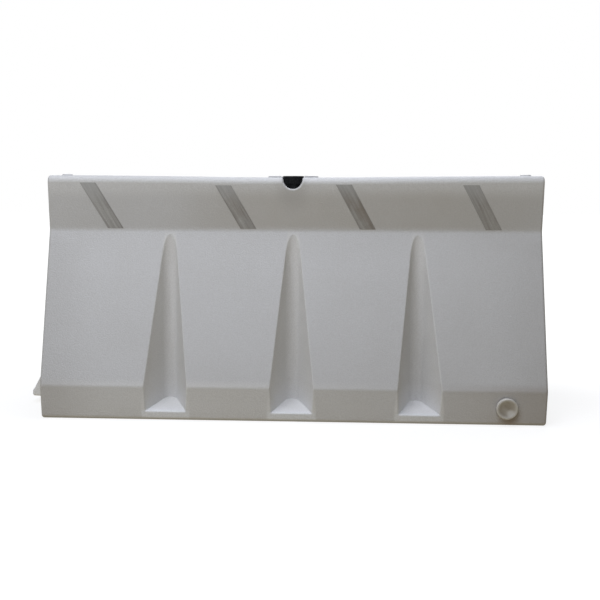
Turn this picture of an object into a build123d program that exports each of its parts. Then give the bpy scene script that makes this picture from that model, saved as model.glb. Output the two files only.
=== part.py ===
from build123d import *
from math import cos, hypot, radians, sin, tan
import os

# A hollow plastic road barrier that is filled with water through a cap in its top and emptied through
# a plug in its base. Millimetres, +Z up. The origin is on the ground under the middle of the body, the
# length runs along X, the front faces -Y, and the tongue that joins the next barrier points to -X.

# Body section, from the ground up
BODY_LENGTH = 1856.0
BODY_HEIGHT = 900.0
BASE_WIDTH = 582.0
SHOULDER_WIDTH = 600.0
SHOULDER_HEIGHT = 127.5
WAIST_WIDTH = 252.0
WAIST_HEIGHT = 694.0
TOP_WIDTH = 276.0
TOP_SAG = 7.0
TOP_QUARTER_SAG = 2.8
HEAD_SPARE = 20.0
WALL = 6.0
BASE_RADIUS = 16.0
SHOULDER_RADIUS = 25.0
WAIST_RADIUS = 36.0
TOP_RADIUS = 24.0
END_RADIUS = 10.0

# Flutes: grooves of a rounded V section that start under the waist and end on a sloping ledge
FLUTE_XS = (-461.0, 4.0, 469.0)
FLUTE_HALF_ANGLE = 22.4
FLUTE_TIP_RADIUS = 29.0
FLUTE_BACK = 160.0
FLUTE_LEAN = 2.75
FLUTE_TOP = 700.0
FLUTE_MOUTH = 220.0
FLUTE_LIP_RADIUS = 6.0
LEDGE_BACK_HEIGHT = 56.5
LEDGE_SLOPE = 9.0
LEDGE_RADIUS = 3.0

# Tongue at the -X end, and the socket at the +X end that takes the next barrier's tongue
TONGUE_LENGTH = 107.5
TONGUE_UNDERSIDE = 28.5
TONGUE_TIP_HEIGHT = 50.5
TONGUE_BEND_LENGTH = 6.8
TONGUE_BEND_HEIGHT = 58.7
TONGUE_BEND_RADIUS = 30.0
TONGUE_ROOT_HEIGHT = 237.0
TONGUE_TIP_WIDTH = 120.0
TONGUE_ROOT_WIDTH = 170.0
TONGUE_EDGE_RADIUS = 8.0
TONGUE_FOOT_RADIUS = 6.0
SOCKET_GAP = 8.0
SOCKET_CUT_BOTTOM = -60.0
SOCKET_LIP_RADIUS = 5.0

# Low bosses near both ends of the top
BOSS_RADIUS = 20.0
BOSS_HEIGHT = 6.5
BOSS_EDGE_RADIUS = 3.0
BOSS_FROM_END = 40.0

# Fill well between two raised pads, with a half-round channel to the front and the rear
PAD_OUTER_RADIUS = 97.0
PAD_INNER_RADIUS = 84.0
PAD_HEIGHT = 7.0
PAD_EDGE_RADIUS = 3.0
WELL_RADIUS = 75.0
WELL_FLOOR = 845.0
CHANNEL_RADIUS = 36.5
CHANNEL_CENTRE = 887.0
CHANNEL_CORNER_RADIUS = 8.0
CHANNEL_LIP_RADIUS = 7.0

# Screw threads of the fill cap and the drain plug
THREAD_PITCH = 6.0
THREAD_DEPTH = 2.5
THREAD_ROOT_WIDTH = 3.0
THREAD_CREST_WIDTH = 1.4
THREAD_ROOTED = 1.0
THREAD_CLEARANCE = 1.0
THREAD_TURNS = 2.25

# Fill collar, cap and gasket
GASKET = 3.0
COLLAR_HOLE_RADIUS = 36.0
COLLAR_FLANGE_RADIUS = 42.0
COLLAR_FLANGE = 6.0
COLLAR_DRUM_RADIUS = 38.0
COLLAR_DRUM_TOP = 866.5
NECK_RADIUS = 31.5
NECK_BORE_RADIUS = 26.0
NECK_TOP = 892.0
NECK_THREAD_START = 874.5
CAP_RADIUS = 41.0
CAP_BOTTOM = 868.5
CAP_ROOF = 5.5
CAP_EDGE_RADIUS = 2.5
RIB_COUNT = 36
RIB_RADIUS = 1.4
RIB_HEIGHT = 25.0
CAP_DISH_RADIUS = 32.0
CAP_DISH_DEPTH = 1.5

# Drain bush, plug and gasket, measured along the plug's axis from the face of the base band
DRAIN_X = 782.0
DRAIN_HEIGHT = 66.5
BUSH_RADIUS = 33.0
BUSH_FLANGE_RADIUS = 40.0
BUSH_FLANGE = 7.0
BUSH_DEPTH = 36.0
BUSH_THREAD_START = -17.0
PLUG_RADIUS = 39.0
PLUG_HEAD = 12.0
PLUG_DISH_RADIUS = 32.0
PLUG_DISH_DEPTH = 8.0
PLUG_EDGE_RADIUS = 4.0
PLUG_DISH_EDGE_RADIUS = 3.0
PLUG_SHANK_RADIUS = 23.5
PLUG_SHANK_DEPTH = 22.0
PLUG_HOLLOW_RADIUS = 17.0
PLUG_GASKET_RADIUS = 38.0

# Reflective tapes on the head band: the place of each one's middle, its lean and the height of its top
TAPES = ((-722.0, 30.7, 873.0), (-212.5, 30.2, 863.5), (236.7, 28.9, 867.0), (704.0, 28.6, 866.0))
TAPE_WIDTH = 52.0
TAPE_BOTTOM = 701.0
TAPE_THICKNESS = 0.6

HALF_LENGTH = BODY_LENGTH / 2
FROM_BELOW = (Align.CENTER, Align.CENTER, Align.MIN)
FRONT, REAR = -1, 1


def section_half_width(height):
    """Half the width of the body's section at a height, before its corners are rounded."""
    corners = (
        (0, BASE_WIDTH / 2),
        (SHOULDER_HEIGHT, SHOULDER_WIDTH / 2),
        (WAIST_HEIGHT, WAIST_WIDTH / 2),
        (BODY_HEIGHT, TOP_WIDTH / 2),
    )
    for (low, low_half), (high, high_half) in zip(corners, corners[1:]):
        if height <= high:
            return low_half + (high_half - low_half) * (height - low) / (high - low)


def face_plane(side, x, low, high, height):
    """A plane on the front or rear skin between two heights, with its local Y pointing up the skin."""
    run = section_half_width(high) - section_half_width(low)
    slant = hypot(run, high - low)
    outward = (0, side * (high - low) / slant, -run / slant)
    return Plane(
        origin=(x, side * section_half_width(height), height),
        x_dir=(-side, 0, 0),
        z_dir=outward,
    )


def body_prism(inset):
    """The body's section carried along its length, with every skin moved in by inset."""
    head_flare = (TOP_WIDTH - WAIST_WIDTH) / 2 / (BODY_HEIGHT - WAIST_HEIGHT)
    spare_top = BODY_HEIGHT + HEAD_SPARE
    end_top = BODY_HEIGHT - inset
    with BuildPart() as prism:
        with BuildSketch(Plane.YZ.offset(inset - HALF_LENGTH)) as section:
            with BuildLine():
                half_outline = Polyline(
                    (0, 0),
                    (BASE_WIDTH / 2, 0),
                    (SHOULDER_WIDTH / 2, SHOULDER_HEIGHT),
                    (WAIST_WIDTH / 2, WAIST_HEIGHT),
                    (TOP_WIDTH / 2 + head_flare * HEAD_SPARE, spare_top),
                    (0, spare_top),
                )
                mirror(half_outline, about=Plane.YZ)
            make_face()
            for height, radius in (
                (0, BASE_RADIUS),
                (SHOULDER_HEIGHT, SHOULDER_RADIUS),
                (WAIST_HEIGHT, WAIST_RADIUS),
            ):
                level = section.vertices().filter_by_position(Axis.Y, height - 1, height + 1)
                fillet([corner for corner in level if corner.X], radius=radius)
            offset(amount=-inset, mode=Mode.REPLACE)
        extrude(amount=BODY_LENGTH - 2 * inset)
        with BuildSketch(Plane.XZ.offset(-TOP_WIDTH)):
            with BuildLine():
                Spline(
                    (-HALF_LENGTH, end_top),
                    (-HALF_LENGTH / 2, end_top - TOP_QUARTER_SAG),
                    (0, end_top - TOP_SAG),
                    (HALF_LENGTH / 2, end_top - TOP_QUARTER_SAG),
                    (HALF_LENGTH, end_top),
                )
                Polyline(
                    (-HALF_LENGTH, end_top),
                    (-HALF_LENGTH, spare_top + HEAD_SPARE),
                    (HALF_LENGTH, spare_top + HEAD_SPARE),
                    (HALF_LENGTH, end_top),
                )
            make_face()
        extrude(amount=2 * TOP_WIDTH, mode=Mode.SUBTRACT)
        long_rims = prism.edges(Select.NEW).filter_by(lambda edge: edge.length > HALF_LENGTH)
        fillet(long_rims, radius=TOP_RADIUS - inset)
        ends = prism.faces().filter_by(Axis.X)
        fillet(ends.edges(), radius=END_RADIUS - inset)
    return prism.part


def flute_section(grow):
    """The rounded V of a flute, its tip at the origin and its mouth towards -Y, grown by a wall."""
    half_angle = radians(FLUTE_HALF_ANGLE)
    radius = FLUTE_TIP_RADIUS + grow
    touch_x = radius * cos(half_angle)
    touch_y = radius * sin(half_angle) - FLUTE_TIP_RADIUS
    mouth_x = touch_x + (FLUTE_MOUTH + touch_y) * tan(half_angle)
    with BuildSketch() as section:
        with BuildLine():
            ThreePointArc((-touch_x, touch_y), (0, grow), (touch_x, touch_y))
            Polyline(
                (touch_x, touch_y),
                (mouth_x, -FLUTE_MOUTH),
                (-mouth_x, -FLUTE_MOUTH),
                (-touch_x, touch_y),
            )
        make_face()
    return section.sketch


def flute_cutters(grow):
    """All the flutes as solids, each standing on its ledge and leaning in towards the waist."""
    slope = radians(LEDGE_SLOPE)
    lean = radians(FLUTE_LEAN)
    section = flute_section(grow)
    with BuildPart() as cutters:
        for side in (FRONT, REAR):
            for x in FLUTE_XS:
                ledge = Plane(
                    origin=(x, side * FLUTE_BACK, LEDGE_BACK_HEIGHT - grow),
                    x_dir=(-side, 0, 0),
                    z_dir=(0, side * sin(slope), cos(slope)),
                )
                with BuildSketch(ledge):
                    add(section)
                rise = FLUTE_TOP - LEDGE_BACK_HEIGHT + 2 * grow
                extrude(amount=rise / cos(lean), dir=(0, -side * sin(lean), cos(lean)))
        ledges = cutters.faces().filter_by(lambda face: face.normal_at().Z < -cos(2 * slope))
        fillet(ledges.edges(), radius=LEDGE_RADIUS + grow)
    return cutters.part


def tongue(grow, floor):
    """The joining tongue at the -X end, standing on floor, and then with every skin moved out by grow."""
    tip = -HALF_LENGTH - TONGUE_LENGTH
    root = -HALF_LENGTH + 4 * WALL
    bend = (tip + TONGUE_BEND_LENGTH, TONGUE_BEND_HEIGHT)
    rise = (TONGUE_ROOT_HEIGHT - TONGUE_BEND_HEIGHT) / (TONGUE_LENGTH - TONGUE_BEND_LENGTH)
    root_top = TONGUE_ROOT_HEIGHT + (root + HALF_LENGTH) * rise
    spread = (TONGUE_ROOT_WIDTH - TONGUE_TIP_WIDTH) / 2 / TONGUE_LENGTH
    tip_half = TONGUE_TIP_WIDTH / 2
    root_half = tip_half + (root - tip) * spread
    with BuildPart() as wedge:
        with BuildSketch(Plane.XZ.offset(-TONGUE_ROOT_WIDTH)) as profile:
            with BuildLine():
                Polyline(
                    (root, floor),
                    (tip, floor),
                    (tip, TONGUE_TIP_HEIGHT),
                    bend,
                    (root, root_top),
                    close=True,
                )
            make_face()
            fillet(profile.vertices().sort_by_distance(bend)[0], radius=TONGUE_BEND_RADIUS)
            offset(amount=grow, kind=Kind.INTERSECTION, mode=Mode.REPLACE)
        extrude(amount=2 * TONGUE_ROOT_WIDTH)
        with BuildSketch(Plane.XY.offset(floor - grow)):
            with BuildLine():
                Polyline(
                    (root, -root_half),
                    (tip, -tip_half),
                    (tip, tip_half),
                    (root, root_half),
                    close=True,
                )
            make_face()
            offset(amount=grow, kind=Kind.INTERSECTION, mode=Mode.REPLACE)
        extrude(amount=BODY_HEIGHT, mode=Mode.INTERSECT)
        tip_edges = wedge.faces().sort_by(Axis.X)[0].edges()
        flanks = wedge.edges().filter_by(Axis.Y, reverse=True)
        flanks = flanks.filter_by_position(Axis.X, tip - grow + 1, root + grow - 1)
        fillet(tip_edges + flanks, radius=TONGUE_EDGE_RADIUS + grow)
    return wedge.part


def fill_recess(grow):
    """The fill well and its channel, as a solid with its skins moved out by grow."""
    with BuildPart() as recess:
        with BuildSketch(Plane.XY.offset(WELL_FLOOR - grow)):
            Circle(WELL_RADIUS + grow)
        extrude(amount=BODY_HEIGHT - WELL_FLOOR + grow + 2 * WALL)
        with BuildSketch(Plane.XZ.offset(-TOP_WIDTH)):
            with Locations((0, CHANNEL_CENTRE)):
                Circle(CHANNEL_RADIUS + grow)
                Rectangle(2 * (CHANNEL_RADIUS + grow), CHANNEL_RADIUS, align=(Align.CENTER, Align.MIN))
        extrude(amount=2 * TOP_WIDTH)
        corners = recess.edges(Select.NEW).filter_by_position(Axis.Z, 0, BODY_HEIGHT + WALL)
        fillet(corners, radius=CHANNEL_CORNER_RADIUS - grow)
    return recess.part


def thread_ridge(start, root_radius, crest_radius):
    """A right-hand screw ridge about Z, from a root that is sunk in its wall to its crest."""
    sunk = THREAD_ROOTED if root_radius > crest_radius else -THREAD_ROOTED
    flank = (THREAD_ROOT_WIDTH - THREAD_CREST_WIDTH) / 2 / THREAD_DEPTH
    sunk_half = THREAD_ROOT_WIDTH / 2 + flank * THREAD_ROOTED
    crest_half = THREAD_CREST_WIDTH / 2
    with BuildPart() as ridge:
        with BuildLine() as path:
            Helix(THREAD_PITCH, THREAD_TURNS * THREAD_PITCH, root_radius, center=(0, 0, start))
        with BuildSketch(Plane.XZ):
            with BuildLine():
                Polyline(
                    (root_radius + sunk, start - sunk_half),
                    (crest_radius, start - crest_half),
                    (crest_radius, start + crest_half),
                    (root_radius + sunk, start + sunk_half),
                    close=True,
                )
            make_face()
        sweep(path=path.wires()[0], is_frenet=True)
    return ridge.part


def drum(low, high, radius, mode=Mode.ADD):
    """A round step about the workplane's axis, between two heights."""
    with Locations((0, 0, low)):
        Cylinder(radius, high - low, align=FROM_BELOW, mode=mode)


def write(piece, name):
    """Label a finished piece and write it as its own node."""
    piece.part.label = name
    export_step(piece.part, f"parts/{name}.step")


os.makedirs("parts", exist_ok=True)
drain_plane = face_plane(FRONT, DRAIN_X, 0, SHOULDER_HEIGHT, DRAIN_HEIGHT)
next_barrier = (BODY_LENGTH, 0, 0)
middle_top = BODY_HEIGHT - TOP_SAG

# The outside of the moulding
with BuildPart() as outer_form:
    add(body_prism(0))
    add(flute_cutters(0), mode=Mode.SUBTRACT)
    fillet(outer_form.edges(Select.NEW), radius=FLUTE_LIP_RADIUS)
    add(tongue(0, TONGUE_UNDERSIDE))
    fillet(outer_form.edges(Select.NEW), radius=TONGUE_FOOT_RADIUS)
    with Locations(next_barrier):
        add(tongue(SOCKET_GAP, SOCKET_CUT_BOTTOM), mode=Mode.SUBTRACT)
    fillet(outer_form.edges(Select.NEW), radius=SOCKET_LIP_RADIUS)
    add(fill_recess(0), mode=Mode.SUBTRACT)
    fillet(outer_form.edges(Select.NEW), radius=CHANNEL_LIP_RADIUS)
    with BuildSketch(Plane.XY.offset(middle_top - WALL / 2)):
        Circle(PAD_OUTER_RADIUS)
        Circle(PAD_INNER_RADIUS, mode=Mode.SUBTRACT)
        Rectangle(2 * (CHANNEL_RADIUS + CHANNEL_LIP_RADIUS), 2 * PAD_OUTER_RADIUS, mode=Mode.SUBTRACT)
    extrude(amount=PAD_HEIGHT + WALL / 2)
    pad_tops = outer_form.faces(Select.LAST).filter_by(Axis.Z).group_by(Axis.Z)[-1]
    fillet(pad_tops.edges(), radius=PAD_EDGE_RADIUS)
    with BuildSketch(Plane.XY.offset(BODY_HEIGHT - WALL / 2)):
        with Locations((BOSS_FROM_END - HALF_LENGTH, 0), (HALF_LENGTH - BOSS_FROM_END, 0)):
            Circle(BOSS_RADIUS)
    extrude(amount=BOSS_HEIGHT + WALL / 2)
    fillet(outer_form.edges().group_by(Axis.Z)[-1], radius=BOSS_EDGE_RADIUS)

# The water space inside the moulding, one wall in from its outside
with BuildPart() as tank:
    add(body_prism(WALL))
    add(flute_cutters(WALL), mode=Mode.SUBTRACT)
    add(fill_recess(WALL), mode=Mode.SUBTRACT)
    with Locations(next_barrier):
        add(tongue(SOCKET_GAP + WALL, SOCKET_CUT_BOTTOM), mode=Mode.SUBTRACT)
    add(tongue(-WALL, TONGUE_UNDERSIDE))

# The moulding, with the holes that its two threaded inserts sit in
with BuildPart() as barrier_shell:
    add(outer_form.part)
    add(tank.part, mode=Mode.SUBTRACT)
    drum(WELL_FLOOR - 2 * WALL, WELL_FLOOR + WALL, COLLAR_HOLE_RADIUS, mode=Mode.SUBTRACT)
    with BuildSketch(drain_plane.offset(WALL)):
        Circle(BUSH_RADIUS)
    extrude(amount=-3 * WALL, mode=Mode.SUBTRACT)
write(barrier_shell, "barrier_shell")

# The neck for the fill cap: a groove between two flanges grips the floor of the well
floor_underside = WELL_FLOOR - WALL
collar_bottom = floor_underside - COLLAR_FLANGE
collar_flange_top = WELL_FLOOR + COLLAR_FLANGE
neck_crest_radius = NECK_RADIUS + THREAD_DEPTH
with BuildPart() as fill_collar:
    drum(collar_bottom, floor_underside, COLLAR_FLANGE_RADIUS)
    drum(floor_underside, WELL_FLOOR, COLLAR_HOLE_RADIUS)
    drum(WELL_FLOOR, collar_flange_top, COLLAR_FLANGE_RADIUS)
    drum(collar_flange_top, COLLAR_DRUM_TOP, COLLAR_DRUM_RADIUS)
    drum(COLLAR_DRUM_TOP, NECK_TOP, NECK_RADIUS)
    add(thread_ridge(NECK_THREAD_START, NECK_RADIUS, neck_crest_radius))
    drum(collar_bottom, NECK_TOP, NECK_BORE_RADIUS, mode=Mode.SUBTRACT)
write(fill_collar, "fill_collar")

# The washer in the roof of the cap, which lies on the rim of the neck
with BuildPart() as fill_cap_gasket:
    drum(NECK_TOP, NECK_TOP + GASKET, neck_crest_radius)
    drum(NECK_TOP, NECK_TOP + GASKET, NECK_BORE_RADIUS, mode=Mode.SUBTRACT)
write(fill_cap_gasket, "fill_cap_gasket")

# The screw cap: its thread runs half a pitch below the thread of the neck
cap_ceiling = NECK_TOP + GASKET
cap_top = cap_ceiling + CAP_ROOF
cap_bore_radius = neck_crest_radius + THREAD_CLEARANCE
cap_crest_radius = NECK_RADIUS + THREAD_CLEARANCE
cap_thread_start = NECK_THREAD_START - THREAD_PITCH / 2
with BuildPart() as fill_cap:
    drum(CAP_BOTTOM, cap_top, CAP_RADIUS)
    fillet(fill_cap.edges().group_by(Axis.Z)[-1], radius=CAP_EDGE_RADIUS)
    with Locations((0, 0, CAP_BOTTOM)):
        with PolarLocations(CAP_RADIUS, RIB_COUNT):
            Cylinder(RIB_RADIUS, RIB_HEIGHT, align=FROM_BELOW)
    drum(cap_top - CAP_DISH_DEPTH, cap_top, CAP_DISH_RADIUS, mode=Mode.SUBTRACT)
    drum(CAP_BOTTOM, cap_ceiling, cap_bore_radius, mode=Mode.SUBTRACT)
    add(thread_ridge(cap_thread_start, cap_bore_radius, cap_crest_radius))
write(fill_cap, "fill_cap")

# The threaded bush for the drain plug: its flange sits behind the wall of the base band
plug_crest_radius = PLUG_SHANK_RADIUS + THREAD_DEPTH
bush_bore_radius = plug_crest_radius + THREAD_CLEARANCE
bush_crest_radius = PLUG_SHANK_RADIUS + THREAD_CLEARANCE
with BuildPart(drain_plane) as drain_bush:
    drum(-BUSH_DEPTH, 0, BUSH_RADIUS)
    drum(-WALL - BUSH_FLANGE, -WALL, BUSH_FLANGE_RADIUS)
    drum(-BUSH_DEPTH, 0, bush_bore_radius, mode=Mode.SUBTRACT)
    add(thread_ridge(BUSH_THREAD_START, bush_bore_radius, bush_crest_radius))
write(drain_bush, "drain_bush")

# The washer under the head of the plug
with BuildPart(drain_plane) as drain_plug_gasket:
    drum(0, GASKET, PLUG_GASKET_RADIUS)
    drum(0, GASKET, bush_bore_radius, mode=Mode.SUBTRACT)
write(drain_plug_gasket, "drain_plug_gasket")

# The drain plug: a dished head on a hollow shank, its thread half a pitch deeper than the bush's
plug_face = GASKET + PLUG_HEAD
dish_sphere_radius = (PLUG_DISH_RADIUS**2 + PLUG_DISH_DEPTH**2) / (2 * PLUG_DISH_DEPTH)
plug_thread_start = BUSH_THREAD_START - THREAD_PITCH / 2
plug_axis = Axis(drain_plane.origin, drain_plane.z_dir)
with BuildPart(drain_plane) as drain_plug:
    drum(GASKET, plug_face, PLUG_RADIUS)
    fillet(drain_plug.edges().sort_by(plug_axis)[-1], radius=PLUG_EDGE_RADIUS)
    with Locations((0, 0, plug_face + dish_sphere_radius - PLUG_DISH_DEPTH)):
        Sphere(dish_sphere_radius, mode=Mode.SUBTRACT)
    fillet(drain_plug.edges(Select.NEW), radius=PLUG_DISH_EDGE_RADIUS)
    drum(-PLUG_SHANK_DEPTH, GASKET, PLUG_SHANK_RADIUS)
    add(thread_ridge(plug_thread_start, PLUG_SHANK_RADIUS, plug_crest_radius))
    drum(-PLUG_SHANK_DEPTH, 0, PLUG_HOLLOW_RADIUS, mode=Mode.SUBTRACT)
write(drain_plug, "drain_plug")

# The slanted reflective tapes, the same on both faces as each is seen from its own side
for side, face in ((FRONT, "front"), (REAR, "rear")):
    for number, (x, lean, top) in enumerate(TAPES, start=1):
        half_rise = (top - TAPE_BOTTOM) / 2
        half_width = TAPE_WIDTH / 2 / cos(radians(lean))
        shift = half_rise * tan(radians(lean))
        middle = (top + TAPE_BOTTOM) / 2
        tape_plane = face_plane(side, -side * x, WAIST_HEIGHT, BODY_HEIGHT, middle)
        with BuildPart() as reflector:
            with BuildSketch(tape_plane):
                with BuildLine():
                    Polyline(
                        (-shift - half_width, half_rise),
                        (shift - half_width, -half_rise),
                        (shift + half_width, -half_rise),
                        (-shift + half_width, half_rise),
                        close=True,
                    )
                make_face()
            extrude(amount=TAPE_THICKNESS)
        write(reflector, f"{face}_reflector_{number}")
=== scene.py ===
import bpy
from math import cos, radians, sin
from mathutils import Matrix, Vector

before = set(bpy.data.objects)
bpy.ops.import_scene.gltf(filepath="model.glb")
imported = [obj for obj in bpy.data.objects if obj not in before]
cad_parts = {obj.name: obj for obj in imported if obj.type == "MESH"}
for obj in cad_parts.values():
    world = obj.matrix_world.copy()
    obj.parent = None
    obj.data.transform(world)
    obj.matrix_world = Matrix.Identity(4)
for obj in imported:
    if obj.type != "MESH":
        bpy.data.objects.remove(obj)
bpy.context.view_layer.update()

# Camera, fitted to the photograph: metres and degrees
CAMERA_PLACE = (0.0812, -3.3317, 0.8377)
CAMERA_YAW = 2.938
CAMERA_PITCH = -7.216
CAMERA_ROLL = 0.162
CAMERA_LENS = 51.0
CAMERA_SENSOR = 36.0
CAMERA_SHIFT = 0.05

# Base colours, linear
SHELL_PALE = (0.660, 0.663, 0.670)
SHELL_DULL = (0.632, 0.632, 0.634)
# The next four are paler than the shell and paint light: on the rim, in the flutes and on the base band, on
# the ledges, and on the tongue, which is also clean
SHELL_LIT = (0.690, 0.690, 0.686)
LIT_PALE = (0.725, 0.720, 0.708)
LEDGE_LIT = (0.80, 0.805, 0.815)
TONGUE_CLEAN_LIT = (0.86, 0.86, 0.855)
TOP_DUST = (0.656, 0.654, 0.648)
# A grey film, used for dirt and also for painted shade on the faces, the head band, the ends and under the
# notch
FILM_AND_SHADE = (0.345, 0.333, 0.315)
SOIL = (0.270, 0.202, 0.150)
GRIME = (0.375, 0.322, 0.225)
# Painted contact shadow at the ground, with some soil
GROUND_SHADOW_SOIL = (0.075, 0.063, 0.056)
RUST = (0.225, 0.120, 0.060)
BLACK = (0.012, 0.012, 0.013)
DUST = (0.06, 0.058, 0.055)
PLUG_WHITE = (0.645, 0.630, 0.593)
PLUG_SOIL = (0.270, 0.225, 0.172)
RUBBER = (0.022, 0.021, 0.020)
RUBBER_WORN = (0.035, 0.033, 0.031)
TAPE_PALE = (0.530, 0.528, 0.516)
TAPE_DARK = (0.278, 0.268, 0.255)
TAPE_CLEAN = (0.485, 0.490, 0.495)
TAPE_EDGE = (0.225, 0.217, 0.207)
TAPE_SOIL = (0.202, 0.161, 0.120)

# Light: the sky's colour, its faint level all round, and the warm glow of bare ground
SKY_COOL = (0.885, 0.917, 1.0)
SKY_FAINT = (0.047, 0.049, 0.053)
GROUND_GLOW = (0.433, 0.396, 0.308)

# Lamps: name, place, the point that it faces and its size in metres, and its power in watts
LAMPS = (
    ("sky_far", (-1.55, -3.75, 7.35), (0.0, 0.0, 0.45), (5.0, 5.0), 331),
    ("sky_over", (-0.08, -0.25, 3.10), (-0.08, -0.22, 0.45), (2.6, 0.7), 28),
    ("sky_low", (-1.31, -2.24, 1.47), (-0.5, 0.0, 0.2), (1.8, 1.3), 10.4),
    ("sky_behind", (1.3, 4.4, 6.2), (0.0, 0.0, 0.5), (4.0, 4.0), 160),
)

# Floor: its half size in metres, the white that the camera sees on it, its grey in the lamps' light, the
# share of that grey near the barrier, and how far the share reaches, measured shorter along the length
FLOOR_HALF = 30.0
FLOOR_WHITE = 1.12
FLOOR_GREY = (0.9, 0.9, 0.9)
SHADOW_SHARE = 0.28
SHADOW_NEAR = 0.45
SHADOW_FAR = 1.1
SHADOW_SQUEEZE = 0.45

# Where things lie on the barrier, metres
SOIL_TOP = 0.16
HEAD_LOW = 0.70
HEAD_HIGH = 0.88
FLUTES = (-0.461, 0.004, 0.469)
PLUG_X = 0.782
PLUG_Z = 0.0665

# Noises, each with its scale, detail and, where it isn't plain, roughness
CLOUDS = (2.6, 3.0)
SOIL_PATCHES = (5.0, 5.0, 0.6)
GRIME_BLOTCHES = (4.5, 4.0, 0.55)
SHELL_MOTTLE = (210.0, 1.0)
SHELL_GRAIN = (900.0, 2.0, 0.6)
SHELL_WAVES = (3.2, 1.0)
SHELL_SHEEN = (14.0, 4.0)
BLACK_DUST = (60.0, 4.0, 0.6)
BLACK_GRAIN = (700.0, 2.0)
BLACK_SHEEN = (90.0, 3.0)
PLUG_PATCHES = (45.0, 4.0, 0.6)
PLUG_GRAIN = (500.0, 2.0)
PLUG_SHEEN = (40.0, 3.0)
RUBBER_PATCHES = (120.0, 3.0)
RUBBER_GRAIN = (900.0, 2.0)
RUBBER_SHEEN = (80.0,)
TAPE_LINES = (1.0, 4.0, 0.6)
TAPE_SPECKLE = (330.0, 2.0, 0.7)
TAPE_PATCHES = (16.0, 3.0)

# The stretch of a noise's values that a layer uses. A share is how much of the layer shows at the two
# ends of the stretch. A tape's own share of soil is multiplied by TAPE_SOIL_SPREAD.
NOISE_MIDDLE = (0.3, 0.7)
CLOUD_RANGE = (0.35, 0.7)
SOIL_PATCH_RANGE = (0.3, 0.75)
BLOTCH_RANGE = (0.25, 0.8)
BLOTCH_SHARE = (0.55, 1.0)
BLACK_DUST_RANGE = (0.35, 0.75)
PLUG_PATCH_RANGE = (0.35, 0.7)
PLUG_PATCH_SHARE = (0.75, 1.15)
TAPE_RANGE = (0.35, 0.65)
SPECKLE_SHARE = (0.0, 0.38)
TAPE_SOIL_SPREAD = (0.4, 1.6)

# Dust lies on black plastic that faces up: the upward share of its normal
FACING_UP = (0.4, 1.0)

# Roughness, from the smoothest places to the roughest, and the strength of mirror-like light
SHELL_ROUGHNESS = (0.40, 0.52)
BLACK_ROUGHNESS = (0.40, 0.55)
PLUG_ROUGHNESS = (0.28, 0.42)
RUBBER_ROUGHNESS = (0.6, 0.8)
TAPE_ROUGHNESS = (0.28, 0.45)
SHELL_SPECULAR = 0.3
BLACK_SPECULAR = 0.2

# Relief of the surfaces, metres
WAVE_DEPTH = 0.006
MOTTLE_DEPTH = 0.0009
GRAIN_DEPTH = 0.00008
BLACK_DEPTH = 0.00012
RUBBER_DEPTH = 0.0001
RIB_DEPTH = 0.0002

# Ranges on the shell, metres, each between the two ends of a change along the length or up the height.
# A share is how much of the layer shows at those two ends, and without one it goes from none to all.
# A flute has FLUTE_HALF_WIDTH at the two ends of FLUTE_RISE. The painted shade under the notch fades over
# distances counted in its reach, not metres.
FACE_FOOT = (0.11, 0.14)
# Painted shade, with some film, on the flared faces: darker low down and towards the plug end
FACE_FILM_SHADE = (HEAD_LOW, SOIL_TOP)
FACE_FILM_SHADE_SHARE = (0.02, 0.10)
PLUG_FILM_SHADE = (0.0, 0.75)
PLUG_FILM_SHADE_SHARE = (0.0, 0.09)
FLUTE_RISE = (0.05, 0.68)
FLUTE_HALF_WIDTH = (0.094, 0.026)
FLUTE_EDGE = (0.0, 0.010)
# The painted light in the flutes fades along the length towards the plug end
FLUTE_LIGHT_FADE = (0.2, 0.46)
FLUTE_LIGHT_FADE_SHARE = (1.0, 0.75)
FLUTE_FOOT = (0.036, 0.044)
FLUTE_TIP = (0.70, 0.66)
LEDGE_FADE = (0.13, 0.055)
# Painted light on the low fronts of the ledges
NOSE_FOOT = (0.006, 0.014)
NOSE_TOP = (0.044, 0.036)
SOIL_EDGE = (SOIL_TOP, SOIL_TOP - 0.03)
SPLASH = (0.06, 0.0)
SPLASH_SHARE = (0.03, 0.17)
PLUG_END = (0.42, 0.95)
PLUG_END_SHARE = (0.0, 0.34)
TONGUE_END = (-0.7, -0.93)
TONGUE_END_SHARE = (0.0, 0.10)
# Painted light on the base band: stronger left of the middle, weaker at the tongue end
BASE_LIGHT = (0.5, -0.2)
BASE_LIGHT_SHARE = (0.0, 0.7)
BASE_LIGHT_END = (-0.85, -0.4)
BASE_LIGHT_END_SHARE = (0.5, 1.0)
# Painted shade at both ends, on the rounded corners under the head band
END_SHADE = (0.70, 0.925)
END_SHADE_SHARE = (0.0, 0.20)
UNDER_HEAD = (HEAD_LOW, HEAD_LOW - 0.06)
# The tongue is clean and also painted lighter
TONGUE = (-0.929, -0.945)
RUN_MIDDLE = PLUG_X + 0.012
RUN_HALF = (0.055, 0.0)
RUN_FALL = (PLUG_Z + 0.02, PLUG_Z - 0.03)
RUN_FRONT = (-0.2, -0.27)
RUN_SHARE = 0.5
# Painted contact shadow, with some soil, along the bottom edge
GROUND_SHADOW_EDGE = (0.009, 0.001)
GROUND_SHADOW_SHARE = (0.0, 0.6)
ABOVE_WAIST = (HEAD_LOW - 0.012, HEAD_LOW + 0.016)
UNDER_RIM = (HEAD_HIGH, HEAD_LOW + 0.11)
# Painted light: the head band lighter towards the rim
RIM_LIGHT = (0.80, 0.86)
# Painted shade, with some film, on the head band
HEAD_FILM_SHADE_SHARE = 0.14
GRIME_RISE = (-0.55, -0.05)
GRIME_RISE_SHARE = (0.1, 1.0)
GRIME_FALL = (0.5, 0.95)
GRIME_FALL_SHARE = (1.0, 0.35)
GRIME_SHARE = 0.34
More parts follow.
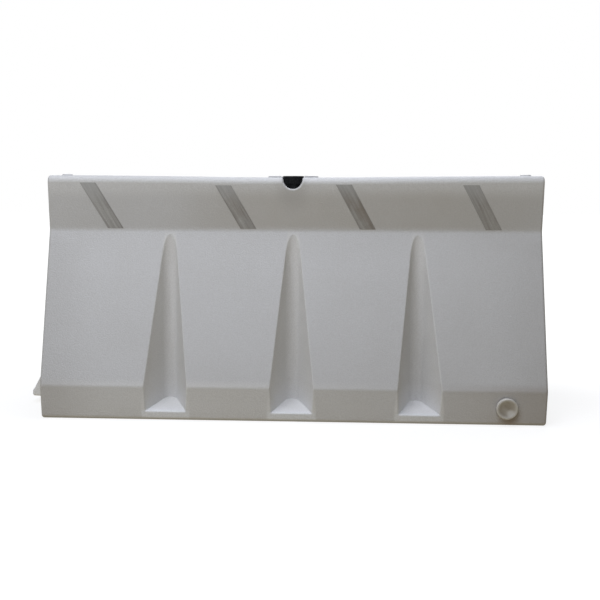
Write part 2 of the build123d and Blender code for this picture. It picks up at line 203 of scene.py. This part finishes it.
# Painted shade under the cap's notch
NOTCH_SHADE_HEIGHT = 0.845
NOTCH_SHADE_REACH = (0.085, 0.11)
NOTCH_SHADE_FADE = (1.0, 0.15)
NOTCH_SHADE_SHARE = 0.34
TOP_DUSTY = (0.878, 0.893)
MOTTLE_SHARE = (0.0, 0.17)

# Plug: how far soil and the painted highlight reach from their middles, metres, and their shares
DISH_EDGE = (0.037, 0.022)
DISH_SOIL_SHARE = (0.19, 0.72)
# A painted highlight at the lower right of the dish, left free of soil
HIGHLIGHT_X = PLUG_X + 0.014
HIGHLIGHT_Z = PLUG_Z - 0.018
HIGHLIGHT_EDGE = (0.006, 0.02)
HIGHLIGHT_SHARE = (0.15, 1.0)

# Each tape's middle, lean in degrees and share of soil, the height that all their middles are near, and
# half a tape's width
TAPES = ((-0.722, 30.7, 0.02), (-0.2125, 30.2, 0.17), (0.2367, 28.9, 0.34), (0.704, 28.6, 0.18))
TAPE_MIDDLE = 0.784
TAPE_HALF = 0.026

# On each tape: its darker edges, out from its middle line, and its clean top and the soil below it, by
# height, all in metres, with their shares, and then the scales of its streaks and ribs
TAPE_EDGE_RANGE = (TAPE_HALF - 0.007, TAPE_HALF)
TAPE_EDGE_SHARE = (0.0, 0.3)
TAPE_TOP = (0.79, 0.86)
TAPE_TOP_SHARE = (0.0, 0.5)
TAPE_SOILED = (0.86, 0.80)
TAPE_STREAKS = (110.0, 1.0, 5.0)
TAPE_RIBS = 120.0


class Nodes:
    """A material's node tree, with short ways to add nodes and join them."""

    def __init__(self, name):
        self.material = bpy.data.materials.new(name)
        self.material.use_nodes = True
        self.tree = self.material.node_tree
        self.shader = self.tree.nodes["Principled BSDF"]
        self.place = self.add("ShaderNodeTexCoord").outputs["Object"]
        self.along, self.depth, self.height = self.split(self.place)

    def add(self, kind, **settings):
        node = self.tree.nodes.new(kind)
        for key, value in settings.items():
            setattr(node, key, value)
        return node

    def feed(self, socket, value):
        if isinstance(value, bpy.types.NodeSocket):
            self.tree.links.new(value, socket)
        elif isinstance(value, tuple) and len(value) == 3 and socket.type == "RGBA":
            socket.default_value = (*value, 1.0)
        else:
            socket.default_value = value

    def math(self, operation, first, second=0.0):
        node = self.add("ShaderNodeMath", operation=operation)
        self.feed(node.inputs[0], first)
        self.feed(node.inputs[1], second)
        return node.outputs[0]

    def product(self, first, second):
        return self.math("MULTIPLY", first, second)

    def length(self, first, second):
        squares = [self.math("POWER", value, 2.0) for value in (first, second)]
        return self.math("SQRT", self.math("ADD", *squares))

    def split(self, vector):
        node = self.add("ShaderNodeSeparateXYZ")
        self.feed(node.inputs[0], vector)
        return node.outputs

    def mapped(self, vector, turn=(0.0, 0.0, 0.0), scale=(1.0, 1.0, 1.0)):
        node = self.add("ShaderNodeMapping")
        self.feed(node.inputs["Vector"], vector)
        node.inputs["Rotation"].default_value = turn
        node.inputs["Scale"].default_value = scale
        return node.outputs[0]

    def noise(self, scale, detail=2.0, rough=0.5, where=None):
        node = self.add("ShaderNodeTexNoise")
        self.feed(node.inputs["Vector"], where or self.place)
        node.inputs["Scale"].default_value = scale
        node.inputs["Detail"].default_value = detail
        node.inputs["Roughness"].default_value = rough
        return node.outputs["Fac"]

    def remap(self, value, low, high, to_low=0.0, to_high=1.0, smooth=False):
        node = self.add("ShaderNodeMapRange", clamp=True)
        if smooth:
            node.interpolation_type = "SMOOTHSTEP"
        self.feed(node.inputs["Value"], value)
        self.feed(node.inputs["From Min"], low)
        self.feed(node.inputs["From Max"], high)
        self.feed(node.inputs["To Min"], to_low)
        self.feed(node.inputs["To Max"], to_high)
        return node.outputs["Result"]

    def mix(self, amount, first, second):
        node = self.add("ShaderNodeMix", data_type="RGBA")
        self.feed(node.inputs["Factor"], amount)
        self.feed(node.inputs[6], first)
        self.feed(node.inputs[7], second)
        return node.outputs[2]

    def bump(self, height, distance, under=None):
        node = self.add("ShaderNodeBump")
        self.feed(node.inputs["Height"], height)
        node.inputs["Distance"].default_value = distance
        node.inputs["Strength"].default_value = 1.0
        if under is not None:
            self.feed(node.inputs["Normal"], under)
        return node.outputs["Normal"]

    def finish(self, color, roughness, normal=None, **plain):
        self.feed(self.shader.inputs["Base Color"], color)
        self.feed(self.shader.inputs["Roughness"], roughness)
        if normal is not None:
            self.feed(self.shader.inputs["Normal"], normal)
        for key, value in plain.items():
            self.feed(self.shader.inputs[key.replace("_", " ")], value)
        return self.material


def film_and_shade_on_faces(n, color):
    """A grey film with painted shade on the flared faces, darker low down and towards the end with the plug.
    """
    lower = n.remap(n.height, *FACE_FILM_SHADE, *FACE_FILM_SHADE_SHARE)
    toward_plug = n.remap(n.along, *PLUG_FILM_SHADE, *PLUG_FILM_SHADE_SHARE, smooth=True)
    return n.mix(n.product(n.math("ADD", lower, toward_plug), n.remap(n.height, *FACE_FOOT)), color, FILM_AND_SHADE)


def inside_flutes(n):
    """Where the painted light in the flutes goes: how far inside the outline of the nearest flute a point is,
    less at the end with the plug.
    """
    aside = [n.math("ABSOLUTE", n.math("SUBTRACT", n.along, middle)) for middle in FLUTES]
    nearest = n.math("MINIMUM", n.math("MINIMUM", aside[0], aside[1]), aside[2])
    half_width = n.remap(n.height, *FLUTE_RISE, *FLUTE_HALF_WIDTH)
    inside = n.remap(n.math("SUBTRACT", half_width, nearest), *FLUTE_EDGE, smooth=True)
    return n.product(inside, n.remap(n.along, *FLUTE_LIGHT_FADE, *FLUTE_LIGHT_FADE_SHARE))


def painted_light_in_flutes(n, color, inside):
    """Painted light in the flutes and on the ledges under them, which are paler than the shell."""
    tall = n.product(n.remap(n.height, *FLUTE_FOOT), n.remap(n.height, *FLUTE_TIP))
    color = n.mix(n.product(inside, tall), color, LIT_PALE)
    ledge = n.product(tall, n.remap(n.height, *LEDGE_FADE))
    return n.mix(n.product(inside, ledge), color, LEDGE_LIT)


def light_and_soil_on_base_band(n, color):
    """Painted light on the base band, paler left of the middle, and soil splashed up from the ground, most of
    it at the end with the plug.
    """
    low = n.remap(n.height, *SOIL_EDGE, smooth=True)
    base_light = n.product(n.remap(n.along, *BASE_LIGHT, *BASE_LIGHT_SHARE), n.remap(n.along, *BASE_LIGHT_END, *BASE_LIGHT_END_SHARE))
    color = n.mix(n.product(base_light, low), color, LIT_PALE)
    patchy = n.remap(n.noise(*SOIL_PATCHES), *SOIL_PATCH_RANGE)
    splash = n.product(n.remap(n.height, *SPLASH, *SPLASH_SHARE), patchy)
    plug_end = n.remap(n.along, *PLUG_END, *PLUG_END_SHARE, smooth=True)
    tongue_end = n.remap(n.along, *TONGUE_END, *TONGUE_END_SHARE, smooth=True)
    ends = n.math("ADD", plug_end, tongue_end)
    return n.mix(n.product(n.math("ADD", splash, ends), low), color, SOIL)


def light_and_shade_on_ledges_and_ends(n, color, inside):
    """Painted light on the low fronts of the ledges, painted shade at both ends under the head band, and a
    tongue that is clean and painted lighter.
    """
    nose = n.product(n.remap(n.height, *NOSE_FOOT), n.remap(n.height, *NOSE_TOP))
    color = n.mix(n.product(inside, nose), color, LEDGE_LIT)
    end_shade = n.remap(n.math("ABSOLUTE", n.along), *END_SHADE, *END_SHADE_SHARE, smooth=True)
    color = n.mix(n.product(end_shade, n.remap(n.height, *UNDER_HEAD)), color, FILM_AND_SHADE)
    return n.mix(n.remap(n.along, *TONGUE, smooth=True), color, TONGUE_CLEAN_LIT)


def stain_and_ground_shadow(n, color):
    """A rust-coloured run under the drain plug, and a dark edge at the ground that is painted contact shadow
    with some soil.
    """
    aside = n.math("ABSOLUTE", n.math("SUBTRACT", n.along, RUN_MIDDLE))
    run = n.remap(aside, *RUN_HALF, smooth=True)
    below = n.remap(n.height, *RUN_FALL, smooth=True)
    stain = n.product(n.product(run, below), n.remap(n.depth, *RUN_FRONT))
    color = n.mix(n.product(stain, RUN_SHARE), color, RUST)
    return n.mix(n.remap(n.height, *GROUND_SHADOW_EDGE, *GROUND_SHADOW_SHARE, smooth=True), color, GROUND_SHADOW_SOIL)


def head_band_light_shade_and_grime(n, color):
    """Painted light under the rim, a film with painted shade and warm grime on the head band, and painted
    shade under the cap's notch.
    """
    above_waist = n.remap(n.height, *ABOVE_WAIST, smooth=True)
    band = n.product(above_waist, n.remap(n.height, *UNDER_RIM, smooth=True))
    color = n.mix(n.remap(n.height, *RIM_LIGHT, smooth=True), color, SHELL_LIT)
    color = n.mix(n.product(band, HEAD_FILM_SHADE_SHARE), color, FILM_AND_SHADE)
    rising = n.remap(n.along, *GRIME_RISE, *GRIME_RISE_SHARE, smooth=True)
    falling = n.remap(n.along, *GRIME_FALL, *GRIME_FALL_SHARE, smooth=True)
    blotches = n.remap(n.noise(*GRIME_BLOTCHES), *BLOTCH_RANGE, *BLOTCH_SHARE)
    grime = n.product(n.product(rising, falling), n.product(band, blotches))
    color = n.mix(n.product(grime, GRIME_SHARE), color, GRIME)
    aside = n.product(n.along, 1 / NOTCH_SHADE_REACH[0])
    under = n.product(n.math("SUBTRACT", n.height, NOTCH_SHADE_HEIGHT), 1 / NOTCH_SHADE_REACH[1])
    notch_shade = n.product(n.remap(n.length(aside, under), *NOTCH_SHADE_FADE, smooth=True), above_waist)
    return n.mix(n.product(notch_shade, NOTCH_SHADE_SHARE), color, FILM_AND_SHADE)


def shell_material():
    """White rotomoulded polyethylene: satin, faintly wavy, soiled low down and stained under the plug, with
    painted light and shade on its faces, flutes, ledges, bands and ends.
    """
    n = Nodes("moulded_polyethylene")
    color = n.mix(n.remap(n.noise(*CLOUDS), *CLOUD_RANGE), SHELL_PALE, SHELL_DULL)
    inside = inside_flutes(n)
    color = film_and_shade_on_faces(n, color)
    color = painted_light_in_flutes(n, color, inside)
    color = light_and_soil_on_base_band(n, color)
    color = light_and_shade_on_ledges_and_ends(n, color, inside)
    color = stain_and_ground_shadow(n, color)
    color = head_band_light_shade_and_grime(n, color)
    color = n.mix(n.remap(n.height, *TOP_DUSTY, smooth=True), color, TOP_DUST)
    color = n.mix(n.remap(n.noise(*SHELL_MOTTLE), *NOISE_MIDDLE, *MOTTLE_SHARE), color, FILM_AND_SHADE)
    normal = n.bump(n.noise(*SHELL_WAVES), WAVE_DEPTH)
    normal = n.bump(n.noise(*SHELL_MOTTLE), MOTTLE_DEPTH, under=normal)
    normal = n.bump(n.noise(*SHELL_GRAIN), GRAIN_DEPTH, under=normal)
    roughness = n.remap(n.noise(*SHELL_SHEEN), *NOISE_MIDDLE, *SHELL_ROUGHNESS)
    return n.finish(color, roughness, normal, Specular_IOR_Level=SHELL_SPECULAR)


def black_material():
    """Black moulded plastic with a little dust on what faces up."""
    n = Nodes("black_moulding")
    facing = n.split(n.add("ShaderNodeNewGeometry").outputs["Normal"])
    up = n.remap(facing["Z"], *FACING_UP)
    dusty = n.product(up, n.remap(n.noise(*BLACK_DUST), *BLACK_DUST_RANGE))
    color = n.mix(dusty, BLACK, DUST)
    normal = n.bump(n.noise(*BLACK_GRAIN), BLACK_DEPTH)
    roughness = n.remap(n.noise(*BLACK_SHEEN), *NOISE_MIDDLE, *BLACK_ROUGHNESS)
    return n.finish(color, roughness, normal, Specular_IOR_Level=BLACK_SPECULAR)


def distance_on_front(n, x, z):
    """How far a point is from x and z, seen from the front."""
    return n.length(n.math("SUBTRACT", n.along, x), n.math("SUBTRACT", n.height, z))


def plug_material():
    """White moulded plastic, smoother than the shell, soiled but for a painted highlight left clean in its
    dish.
    """
    n = Nodes("plug_plastic")
    dish = n.remap(distance_on_front(n, PLUG_X, PLUG_Z), *DISH_EDGE, *DISH_SOIL_SHARE, smooth=True)
    patches = n.remap(n.noise(*PLUG_PATCHES), *PLUG_PATCH_RANGE, *PLUG_PATCH_SHARE)
    soiled = n.product(patches, dish)
    highlight = n.remap(distance_on_front(n, HIGHLIGHT_X, HIGHLIGHT_Z), *HIGHLIGHT_EDGE, *HIGHLIGHT_SHARE, smooth=True)
    color = n.mix(n.product(soiled, highlight), PLUG_WHITE, PLUG_SOIL)
    normal = n.bump(n.noise(*PLUG_GRAIN), GRAIN_DEPTH)
    roughness = n.remap(n.noise(*PLUG_SHEEN), *NOISE_MIDDLE, *PLUG_ROUGHNESS)
    return n.finish(color, roughness, normal)


def rubber_material():
    """Black gasket rubber."""
    n = Nodes("gasket_rubber_look")
    color = n.mix(n.noise(*RUBBER_PATCHES), RUBBER, RUBBER_WORN)
    normal = n.bump(n.noise(*RUBBER_GRAIN), RUBBER_DEPTH)
    roughness = n.remap(n.noise(*RUBBER_SHEEN), *NOISE_MIDDLE, *RUBBER_ROUGHNESS)
    return n.finish(color, roughness, normal)


def tape_material(name, middle, lean, soil):
    """Grey reflective tape: streaks and fine ribs along it, darker edges, and soil except near the top."""
    n = Nodes(name)
    turn = radians(lean)
    turned = n.mapped(n.place, turn=(0.0, turn, 0.0))
    lines = n.noise(*TAPE_LINES, where=n.mapped(turned, scale=TAPE_STREAKS))
    color = n.mix(n.remap(lines, *NOISE_MIDDLE), TAPE_DARK, TAPE_PALE)
    color = n.mix(n.remap(n.noise(*TAPE_SPECKLE), *TAPE_RANGE, *SPECKLE_SHARE), color, TAPE_EDGE)
    color = n.mix(n.remap(n.height, *TAPE_TOP, *TAPE_TOP_SHARE), color, TAPE_CLEAN)
    least, most = TAPE_SOIL_SPREAD
    patches = n.remap(n.noise(*TAPE_PATCHES), *TAPE_RANGE, least * soil, most * soil)
    color = n.mix(n.product(patches, n.remap(n.height, *TAPE_SOILED)), color, TAPE_SOIL)
    off_middle = n.math("SUBTRACT", n.split(turned)["X"], middle * cos(turn) + TAPE_MIDDLE * sin(turn))
    edge = n.remap(n.math("ABSOLUTE", off_middle), *TAPE_EDGE_RANGE, *TAPE_EDGE_SHARE, smooth=True)
    color = n.mix(edge, color, TAPE_EDGE)
    ribs = n.add("ShaderNodeTexWave", wave_type="BANDS", bands_direction="X")
    n.feed(ribs.inputs["Vector"], turned)
    ribs.inputs["Scale"].default_value = TAPE_RIBS
    normal = n.bump(ribs.outputs["Fac"], RIB_DEPTH)
    return n.finish(color, n.remap(lines, *NOISE_MIDDLE, *TAPE_ROUGHNESS), normal)


def dress(nodes, material):
    for name in nodes:
        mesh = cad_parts[name].data
        mesh.materials.clear()
        mesh.materials.append(material)


dress(["barrier_shell"], shell_material())
dress(["fill_collar", "fill_cap"], black_material())
dress(["drain_bush", "drain_plug"], plug_material())
dress(["fill_cap_gasket", "drain_plug_gasket"], rubber_material())
for number, (middle, lean, soil) in enumerate(TAPES, start=1):
    dress([f"front_reflector_{number}"], tape_material(f"front_tape_{number}", middle, lean, soil))
    dress([f"rear_reflector_{number}"], tape_material(f"rear_tape_{number}", -middle, -lean, soil))


def make_floor():
    """A floor that looks white, keeps the shadow, and throws the warm light of bare ground back up."""
    mesh = bpy.data.meshes.new("floor")
    corners = [(x, y, 0) for x, y in ((-1, -1), (1, -1), (1, 1), (-1, 1))]
    mesh.from_pydata(corners, [], [(0, 1, 2, 3)])
    floor = bpy.data.objects.new("floor", mesh)
    floor.scale = (FLOOR_HALF, FLOOR_HALF, 1)
    bpy.context.scene.collection.objects.link(floor)
    material = bpy.data.materials.new("floor_white")
    material.use_nodes = True
    tree = material.node_tree
    tree.nodes.clear()
    white = tree.nodes.new("ShaderNodeEmission")
    white.inputs["Strength"].default_value = FLOOR_WHITE
    shaded = tree.nodes.new("ShaderNodeBsdfDiffuse")
    shaded.inputs["Color"].default_value = (*FLOOR_GREY, 1)
    place = tree.nodes.new("ShaderNodeTexCoord")
    squeeze = tree.nodes.new("ShaderNodeMapping")
    squeeze.inputs["Scale"].default_value = (SHADOW_SQUEEZE * FLOOR_HALF, FLOOR_HALF, 0)
    away = tree.nodes.new("ShaderNodeVectorMath")
    away.operation = "LENGTH"
    fade = tree.nodes.new("ShaderNodeMapRange")
    fade.interpolation_type = "SMOOTHSTEP"
    fade.inputs["From Min"].default_value = SHADOW_NEAR
    fade.inputs["From Max"].default_value = SHADOW_FAR
    fade.inputs["To Min"].default_value = 1 - SHADOW_SHARE
    tree.links.new(place.outputs["Object"], squeeze.inputs["Vector"])
    tree.links.new(squeeze.outputs[0], away.inputs[0])
    tree.links.new(away.outputs["Value"], fade.inputs["Value"])
    ground = tree.nodes.new("ShaderNodeEmission")
    ground.inputs["Color"].default_value = (*GROUND_GLOW, 1)
    glow = tree.nodes.new("ShaderNodeMixShader")
    pick = tree.nodes.new("ShaderNodeMixShader")
    light_path = tree.nodes.new("ShaderNodeLightPath")
    out = tree.nodes.new("ShaderNodeOutputMaterial")
    tree.links.new(fade.outputs["Result"], glow.inputs[0])
    tree.links.new(shaded.outputs[0], glow.inputs[1])
    tree.links.new(white.outputs[0], glow.inputs[2])
    tree.links.new(light_path.outputs["Is Camera Ray"], pick.inputs[0])
    tree.links.new(ground.outputs[0], pick.inputs[1])
    tree.links.new(glow.outputs[0], pick.inputs[2])
    tree.links.new(pick.outputs[0], out.inputs[0])
    mesh.materials.append(material)


def make_world():
    """White where the camera sees it, and a faint sky for everything else."""
    world = bpy.data.worlds.new("sky")
    bpy.context.scene.world = world
    world.use_nodes = True
    tree = world.node_tree
    tree.nodes.clear()
    sky = tree.nodes.new("ShaderNodeBackground")
    sky.inputs["Color"].default_value = (*SKY_FAINT, 1)
    white = tree.nodes.new("ShaderNodeBackground")
    white.inputs["Color"].default_value = (1, 1, 1, 1)
    pick = tree.nodes.new("ShaderNodeMixShader")
    light_path = tree.nodes.new("ShaderNodeLightPath")
    out = tree.nodes.new("ShaderNodeOutputWorld")
    tree.links.new(light_path.outputs["Is Camera Ray"], pick.inputs[0])
    tree.links.new(sky.outputs[0], pick.inputs[1])
    tree.links.new(white.outputs[0], pick.inputs[2])
    tree.links.new(pick.outputs[0], out.inputs[0])


def make_lamp(name, place, aim, size, power):
    data = bpy.data.lights.new(name, "AREA")
    data.shape = "RECTANGLE"
    data.size, data.size_y = size
    data.energy = power
    data.color = SKY_COOL
    lamp = bpy.data.objects.new(name, data)
    bpy.context.scene.collection.objects.link(lamp)
    lamp.location = place
    lamp.rotation_euler = (Vector(aim) - Vector(place)).to_track_quat("-Z", "Y").to_euler()


def make_camera():
    data = bpy.data.cameras.new("camera")
    data.lens = CAMERA_LENS
    data.sensor_width = CAMERA_SENSOR
    data.shift_x = CAMERA_SHIFT
    camera = bpy.data.objects.new("camera", data)
    bpy.context.scene.collection.objects.link(camera)
    camera.matrix_world = (
        Matrix.Translation(CAMERA_PLACE)
        @ Matrix.Rotation(radians(CAMERA_YAW), 4, "Z")
        @ Matrix.Rotation(radians(90 + CAMERA_PITCH), 4, "X")
        @ Matrix.Rotation(radians(CAMERA_ROLL), 4, "Z")
    )
    bpy.context.scene.camera = camera


make_floor()
make_world()
for lamp in LAMPS:
    make_lamp(*lamp)
make_camera()
bpy.context.scene.view_settings.view_transform = "Standard"
